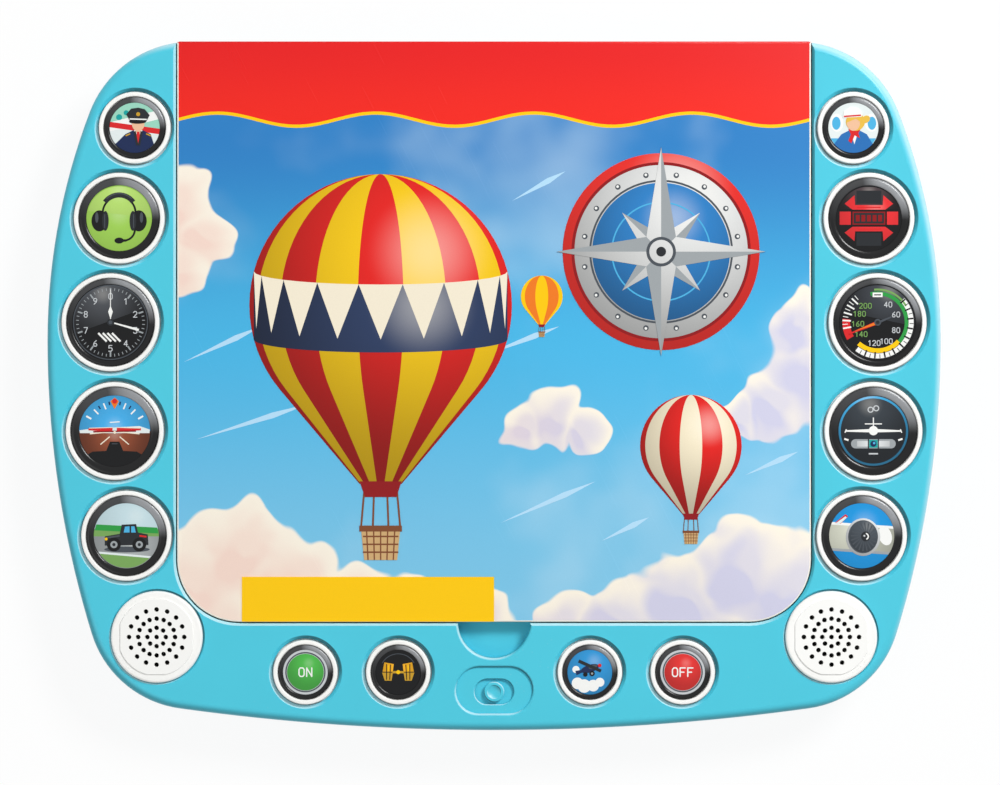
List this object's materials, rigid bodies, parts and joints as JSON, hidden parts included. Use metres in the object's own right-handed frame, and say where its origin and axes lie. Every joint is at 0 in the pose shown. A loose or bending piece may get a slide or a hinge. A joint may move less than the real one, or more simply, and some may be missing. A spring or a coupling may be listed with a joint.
{
  "type": "sound book",
  "caption": "Board book hinged in the open-topped tray of a plastic console with round sound buttons, speaker grilles and a slide switch.",
  "frame": {"origin": "centre of the console's box on the surface that it lies on", "axes": "+X to the right of someone reading the cover, +Y towards the book's spine, +Z out of the cover"},
  "size_m": [0.3, 0.2312, 0.03],
  "materials": {
    "turquoise_plastic": "semi-gloss moulded ABS",
    "rear_plastic": "fine-textured moulded ABS",
    "white_plastic": "gloss moulded ABS",
    "label_print": "printed disc under a clear dome",
    "cover_print": "gloss-laminated print",
    "page_board": "uncoated board edge",
    "circuit_board": "solder mask",
    "silicone": "matt silicone",
    "speaker_black": "matt",
    "battery_jacket": "printed jacket",
    "steel": "plated"
  },
  "bodies": {
    "console": {"front_shell": "turquoise_plastic", "rear_cover": "rear_plastic", "battery_door": "rear_plastic", "cover_back": "cover_print", "book_spine": "cover_print", "page_block": "page_board", "main_board": "circuit_board", "left_key_board": "circuit_board", "right_key_board": "circuit_board", "left_keypad": "silicone", "right_keypad": "silicone", "bottom_keypad": "silicone", "left_speaker_grille": "white_plastic", "right_speaker_grille": "white_plastic", "left_speaker": "speaker_black", "right_speaker": "speaker_black", "switch_body": "speaker_black", "battery_1": "battery_jacket", "battery_2": "battery_jacket", "contact_bridge": "steel", "contact_plus": "steel", "contact_minus": "steel", "battery_door_screw": "steel", "case_screw_1": "steel", "case_screw_2": "steel", "case_screw_3": "steel", "case_screw_4": "steel"},
    "cover": {"cover_front": "cover_print"},
    "switch": {"switch_knob": "turquoise_plastic"},
    "left_button_1": {"left_button_1": "white_plastic", "left_label_1": "label_print"},
    "left_button_2": {"left_button_2": "white_plastic", "left_label_2": "label_print"},
    "left_button_3": {"left_button_3": "white_plastic", "left_label_3": "label_print"},
    "left_button_4": {"left_button_4": "white_plastic", "left_label_4": "label_print"},
    "left_button_5": {"left_button_5": "white_plastic", "left_label_5": "label_print"},
    "right_button_1": {"right_button_1": "white_plastic", "right_label_1": "label_print"},
    "right_button_2": {"right_button_2": "white_plastic", "right_label_2": "label_print"},
    "right_button_3": {"right_button_3": "white_plastic", "right_label_3": "label_print"},
    "right_button_4": {"right_button_4": "white_plastic", "right_label_4": "label_print"},
    "right_button_5": {"right_button_5": "white_plastic", "right_label_5": "label_print"},
    "bottom_button_1": {"bottom_button_1": "white_plastic", "bottom_label_1": "label_print"},
    "bottom_button_2": {"bottom_button_2": "white_plastic", "bottom_label_2": "label_print"},
    "bottom_button_3": {"bottom_button_3": "white_plastic", "bottom_label_3": "label_print"},
    "bottom_button_4": {"bottom_button_4": "white_plastic", "bottom_label_4": "label_print"}
  },
  "joints": [
    {"name": "cover_hinge", "type": "hinge", "parent": "console", "child": "cover", "pos_m": [0, 0.11555, 0.02585], "axis": [-1, 0, 0], "range_deg": [0, 180]},
    {"name": "switch_slide", "type": "slide", "parent": "console", "child": "switch", "axis": [1, 0, 0], "range_m": [-0.0022, 0.0022]},
    {"name": "left_button_1_press", "type": "slide", "parent": "console", "child": "left_button_1", "axis": [0, 0, -1], "range_m": [0, 0.0015], "stiffness_N_per_m": 400, "springref_m": -0.0006},
    {"name": "left_button_2_press", "type": "slide", "parent": "console", "child": "left_button_2", "axis": [0, 0, -1], "range_m": [0, 0.0015], "stiffness_N_per_m": 400, "springref_m": -0.0006},
    {"name": "left_button_3_press", "type": "slide", "parent": "console", "child": "left_button_3", "axis": [0, 0, -1], "range_m": [0, 0.0015], "stiffness_N_per_m": 400, "springref_m": -0.0006},
    {"name": "left_button_4_press", "type": "slide", "parent": "console", "child": "left_button_4", "axis": [0, 0, -1], "range_m": [0, 0.0015], "stiffness_N_per_m": 400, "springref_m": -0.0006},
    {"name": "left_button_5_press", "type": "slide", "parent": "console", "child": "left_button_5", "axis": [0, 0, -1], "range_m": [0, 0.0015], "stiffness_N_per_m": 400, "springref_m": -0.0006},
    {"name": "right_button_1_press", "type": "slide", "parent": "console", "child": "right_button_1", "axis": [0, 0, -1], "range_m": [0, 0.0015], "stiffness_N_per_m": 400, "springref_m": -0.0006},
    {"name": "right_button_2_press", "type": "slide", "parent": "console", "child": "right_button_2", "axis": [0, 0, -1], "range_m": [0, 0.0015], "stiffness_N_per_m": 400, "springref_m": -0.0006},
    {"name": "right_button_3_press", "type": "slide", "parent": "console", "child": "right_button_3", "axis": [0, 0, -1], "range_m": [0, 0.0015], "stiffness_N_per_m": 400, "springref_m": -0.0006},
    {"name": "right_button_4_press", "type": "slide", "parent": "console", "child": "right_button_4", "axis": [0, 0, -1], "range_m": [0, 0.0015], "stiffness_N_per_m": 400, "springref_m": -0.0006},
    {"name": "right_button_5_press", "type": "slide", "parent": "console", "child": "right_button_5", "axis": [0, 0, -1], "range_m": [0, 0.0015], "stiffness_N_per_m": 400, "springref_m": -0.0006},
    {"name": "bottom_button_1_press", "type": "slide", "parent": "console", "child": "bottom_button_1", "axis": [0, 0, -1], "range_m": [0, 0.0015], "stiffness_N_per_m": 400, "springref_m": -0.0006},
    {"name": "bottom_button_2_press", "type": "slide", "parent": "console", "child": "bottom_button_2", "axis": [0, 0, -1], "range_m": [0, 0.0015], "stiffness_N_per_m": 400, "springref_m": -0.0006},
    {"name": "bottom_button_3_press", "type": "slide", "parent": "console", "child": "bottom_button_3", "axis": [0, 0, -1], "range_m": [0, 0.0015], "stiffness_N_per_m": 400, "springref_m": -0.0006},
    {"name": "bottom_button_4_press", "type": "slide", "parent": "console", "child": "bottom_button_4", "axis": [0, 0, -1], "range_m": [0, 0.0015], "stiffness_N_per_m": 400, "springref_m": -0.0006}
  ]
}
